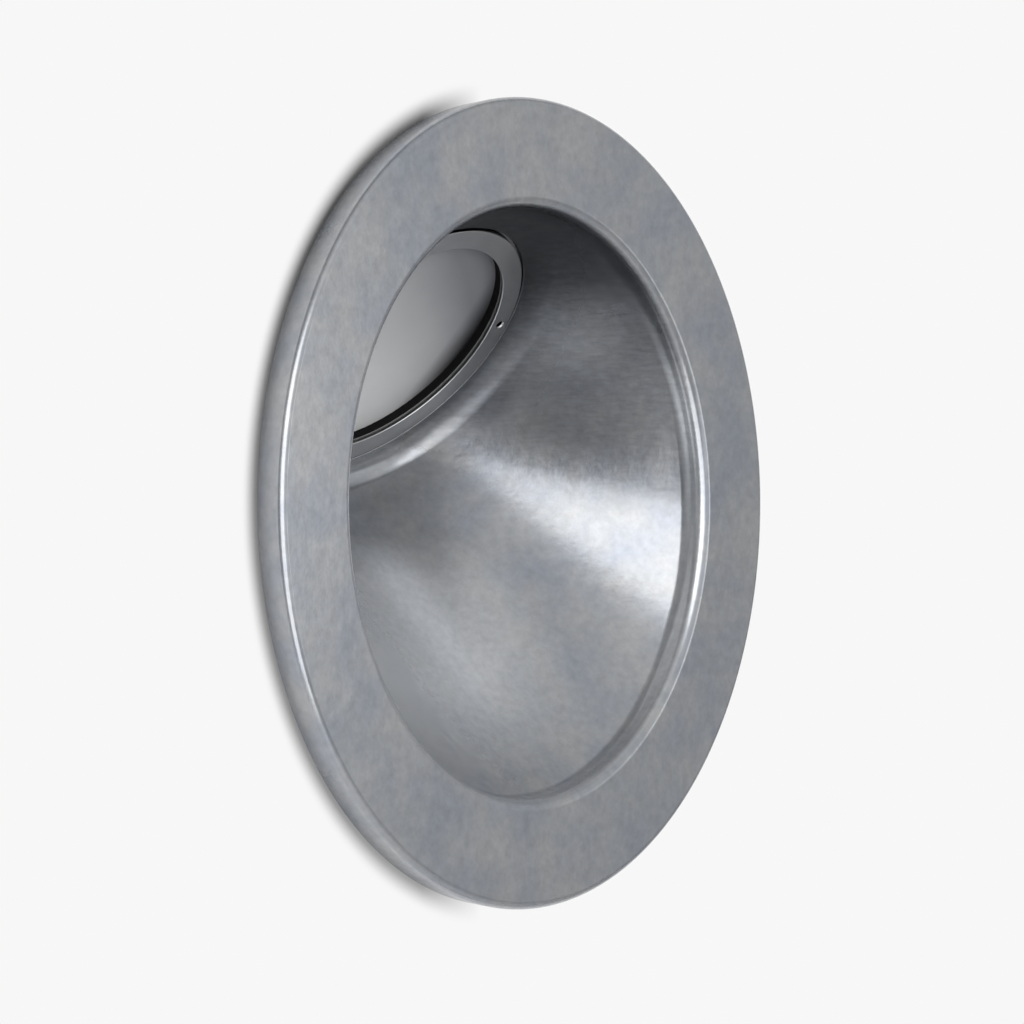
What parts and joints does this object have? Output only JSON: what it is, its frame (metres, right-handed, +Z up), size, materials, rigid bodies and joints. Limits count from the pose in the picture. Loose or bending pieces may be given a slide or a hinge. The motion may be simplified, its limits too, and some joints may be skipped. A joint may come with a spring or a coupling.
{
  "type": "recessed wall light",
  "caption": "Round cast wall light with a bowl-shaped mouth; a screwed lens ring set high in the bowl lights down and out, and a can holds it in the wall.",
  "frame": {"origin": "centre of the front plate's circle on the wall surface, which is the axis of the wall can at its front edge", "axes": "+Y into the wall along the can, +Z up, the front plate faces -Y"},
  "size_m": [0.2, 0.1355, 0.2],
  "materials": {
    "cast_aluminium": "raw tumbled casting, satin",
    "turned_aluminium": "finely turned, satin",
    "black_aluminium": "black anodised",
    "zinc_steel": "zinc plated",
    "steel": "bright",
    "brass": "bright",
    "glass": "sand-blasted",
    "rubber": "matt",
    "white_plastic": "matt",
    "black_plastic": "matt",
    "reflector_white": "satin",
    "board": "white solder mask",
    "phosphor": "gloss",
    "thermal_pad": "soft",
    "wire_sheath": "satin",
    "wire_colour": "satin",
    "earth_colour": "satin"
  },
  "bodies": {
    "can": {"recess_can": "zinc_steel", "can_back": "zinc_steel", "back_rivets": "steel", "gland_body": "black_plastic", "gland_washer": "rubber", "gland_locknut": "black_plastic", "gland_seal": "rubber", "gland_nut": "black_plastic", "blanking_plug": "black_plastic"},
    "dish": {"dish": "cast_aluminium", "wall_gasket": "rubber", "lamp_barrel": "turned_aluminium", "barrel_seal": "rubber", "barrel_screws": "steel", "front_gasket": "rubber", "lens_glass": "glass", "rear_seal": "rubber", "reflector": "reflector_white", "light_board": "board", "light_chips": "phosphor", "board_screws": "steel", "thermal_pad": "thermal_pad", "heat_sink": "black_aluminium", "sink_screws": "steel", "grommet": "rubber", "light_lead": "wire_sheath", "spacer_posts": "zinc_steel", "bracket_plate": "zinc_steel", "bracket_screws": "steel", "driver_case": "white_plastic", "driver_lid": "white_plastic", "driver_screws": "steel", "terminal_block": "white_plastic", "terminal_screws": "brass", "mains_wires": "wire_colour", "earth_screw": "brass", "earth_wire": "earth_colour", "arm_brackets": "zinc_steel", "arm_rivets": "steel", "arm_pins": "steel", "arm_springs": "steel"},
    "slip_washer": {"slip_washer": "white_plastic"},
    "lens_ring": {"lens_ring": "turned_aluminium"},
    "arm_right": {"arm_right": "zinc_steel"},
    "arm_left": {"arm_left": "zinc_steel"},
    "arm_bottom": {"arm_bottom": "zinc_steel"}
  },
  "joints": [
    {"name": "dish_pull", "type": "slide", "parent": "can", "child": "dish", "axis": [0, -1, 0], "range_m": [0, 0.11]},
    {"name": "ring_lift", "type": "slide", "parent": "dish", "child": "slip_washer", "axis": [0, -0.7314, -0.682], "range_m": [0, 0.0051]},
    {"name": "ring_turn", "type": "hinge", "parent": "slip_washer", "child": "lens_ring", "pos_m": [0, 0.0366, 0.039], "axis": [0, -0.7314, -0.682], "range_deg": [0, 900]},
    {"name": "arm_right_fold", "type": "hinge", "parent": "dish", "child": "arm_right", "pos_m": [0.07415, 0.02, 0.02699], "axis": [-0.342, 0, 0.9397], "range_deg": [0, 30], "stiffness_Nm_per_rad": 0.02, "springref_deg": -34.38},
    {"name": "arm_left_fold", "type": "hinge", "parent": "dish", "child": "arm_left", "pos_m": [-0.07415, 0.02, 0.02699], "axis": [-0.342, 0, -0.9397], "range_deg": [0, 30], "stiffness_Nm_per_rad": 0.02, "springref_deg": -34.38},
    {"name": "arm_bottom_fold", "type": "hinge", "parent": "dish", "child": "arm_bottom", "pos_m": [0, 0.02, -0.0789], "axis": [1, 0, 0], "range_deg": [0, 30], "stiffness_Nm_per_rad": 0.02, "springref_deg": -34.38}
  ],
  "couplings": [
    {"joint": "ring_lift", "follows": "ring_turn", "m_per_rad": 0.00031831}
  ]
}
